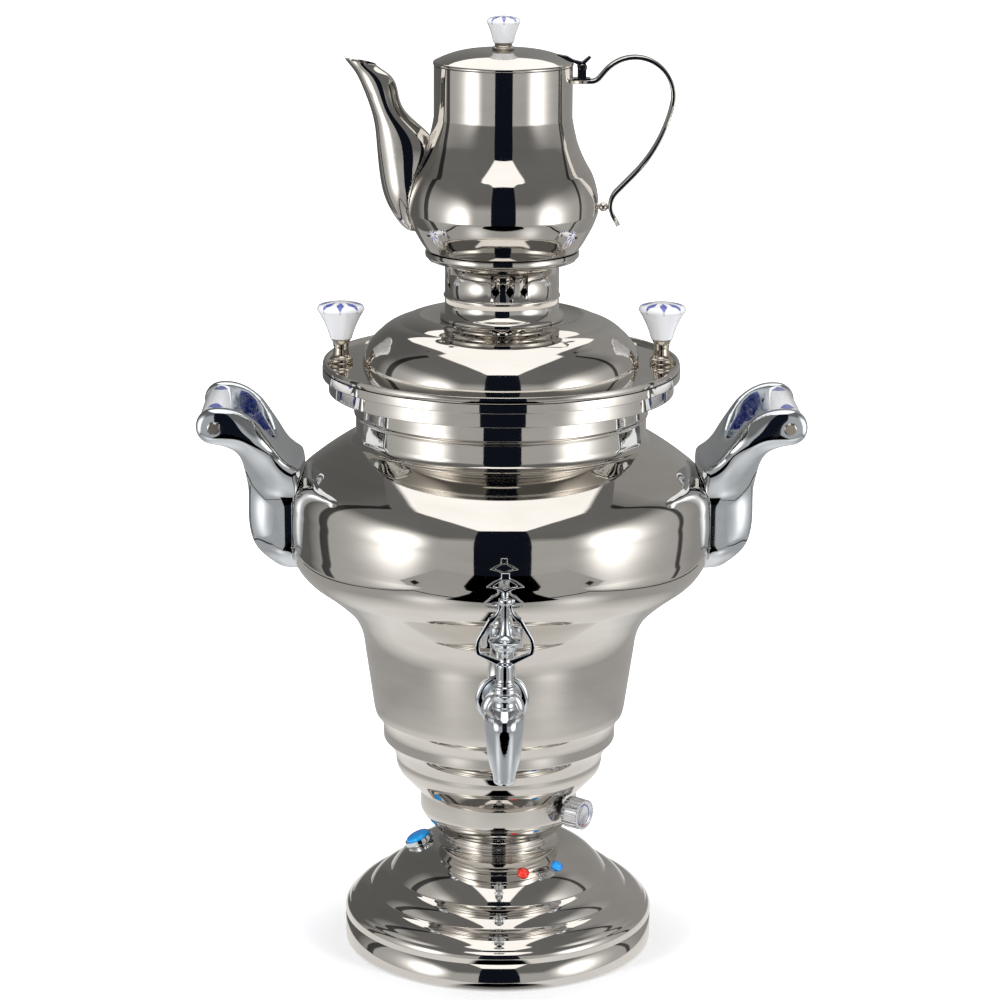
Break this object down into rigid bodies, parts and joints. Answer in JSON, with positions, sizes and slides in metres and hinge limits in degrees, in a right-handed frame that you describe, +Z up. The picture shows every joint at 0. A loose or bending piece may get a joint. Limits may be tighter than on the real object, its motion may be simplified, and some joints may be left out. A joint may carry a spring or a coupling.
{
  "type": "electric samovar with teapot",
  "caption": "Electric samovar: lidded steel urn on a round base, with a tap, side handles, thermostat, and a teapot on its crown.",
  "frame": {"origin": "middle of the four feet on the table, on the axis of the vessel", "axes": "+Z up along the vessel's axis; the tap faces -Y; the handles stand on +X and -X; the teapot's spout points to -X"},
  "size_m": [0.4436, 0.3488, 0.7],
  "materials": {
    "steel": "mirror-polished stainless steel",
    "strip_steel": "polished stainless strip and rod",
    "chrome": "bright chrome plate on cast zinc",
    "knob_chrome": "satin chrome with a printed ring",
    "nickel": "warm nickel plate",
    "porcelain": "white glazed porcelain with a blue petal pattern",
    "inner_steel": "plain stainless steel",
    "zinc": "zinc-plated steel",
    "tap_brass": "turned brass",
    "rubber": "matt black rubber",
    "control": "black moulded control body",
    "switch_lens": "translucent blue button",
    "red_lens": "translucent red lens",
    "blue_lens": "translucent blue lens"
  },
  "bodies": {
    "urn": {"base_ring": "steel", "base_shell": "steel", "column": "steel", "waist_ring": "steel", "vessel_foot": "steel", "vessel_taper": "steel", "vessel_belly": "steel", "vessel_shoulder": "steel", "vessel_neck": "steel", "handle_left": "chrome", "handle_right": "chrome", "tap_body": "chrome", "tap_rosette": "chrome", "tap_cap": "chrome", "switch_bezel": "chrome", "grip_bolt_left": "nickel", "grip_bolt_right": "nickel", "grip_left": "porcelain", "grip_right": "porcelain", "tank_floor": "inner_steel", "heating_element": "inner_steel", "tie_rod": "inner_steel", "base_plate": "zinc", "tie_nut": "zinc", "element_nuts": "zinc", "base_screws": "zinc", "handle_screws": "zinc", "tap_nut": "tap_brass", "rubber_feet": "rubber", "tap_washer": "rubber", "cord_gland": "rubber", "thermostat_body": "control", "dry_boil_cutout": "control", "red_lamp": "red_lens", "blue_lamp": "blue_lens"},
    "tap_turn": {"tap_plug": "tap_brass", "tap_key": "chrome"},
    "thermostat": {"thermostat_knob": "knob_chrome"},
    "switch": {"switch_button": "switch_lens"},
    "lid": {"main_lid": "steel", "lid_ferrule_left": "nickel", "lid_ferrule_right": "nickel", "lid_knob_left": "porcelain", "lid_knob_right": "porcelain", "lid_screws": "zinc"},
    "crown": {"crown_stand": "steel"},
    "teapot": {"teapot_base": "steel", "teapot_body": "steel", "teapot_spout": "steel", "spout_strainer": "inner_steel", "teapot_handle": "strip_steel", "handle_bead": "strip_steel", "hinge_bracket": "strip_steel", "hinge_pin": "strip_steel"},
    "teapot_lid": {"teapot_lid": "steel", "lid_leaf": "strip_steel", "teapot_ferrule": "nickel", "teapot_lid_knob": "porcelain", "teapot_knob_screw": "zinc"}
  },
  "joints": [
    {"name": "tap_key_turn", "type": "hinge", "parent": "urn", "child": "tap_turn", "pos_m": [0, -0.18, 0.221], "axis": [0, 0, 1], "range_deg": [0, 90]},
    {"name": "thermostat_turn", "type": "hinge", "parent": "urn", "child": "thermostat", "pos_m": [0.05554, -0.04261, 0.113], "axis": [0.7934, -0.6088, 0], "range_deg": [-270, 0]},
    {"name": "switch_press", "type": "slide", "parent": "urn", "child": "switch", "axis": [0.4252, -0.0148, -0.905], "range_m": [0, 0.0022], "stiffness_N_per_m": 400},
    {"name": "lid_lift", "type": "slide", "parent": "urn", "child": "lid", "axis": [0, 0, 1], "range_m": [0, 0.12]},
    {"name": "crown_lift", "type": "slide", "parent": "lid", "child": "crown", "axis": [0, 0, 1], "range_m": [0, 0.1]},
    {"name": "teapot_lift", "type": "slide", "parent": "crown", "child": "teapot", "axis": [0, 0, 1], "range_m": [0, 0.15]},
    {"name": "teapot_lid_hinge", "type": "hinge", "parent": "teapot", "child": "teapot_lid", "pos_m": [0.0564, 0, 0.66427], "axis": [0, 1, 0], "range_deg": [0, 90]}
  ]
}
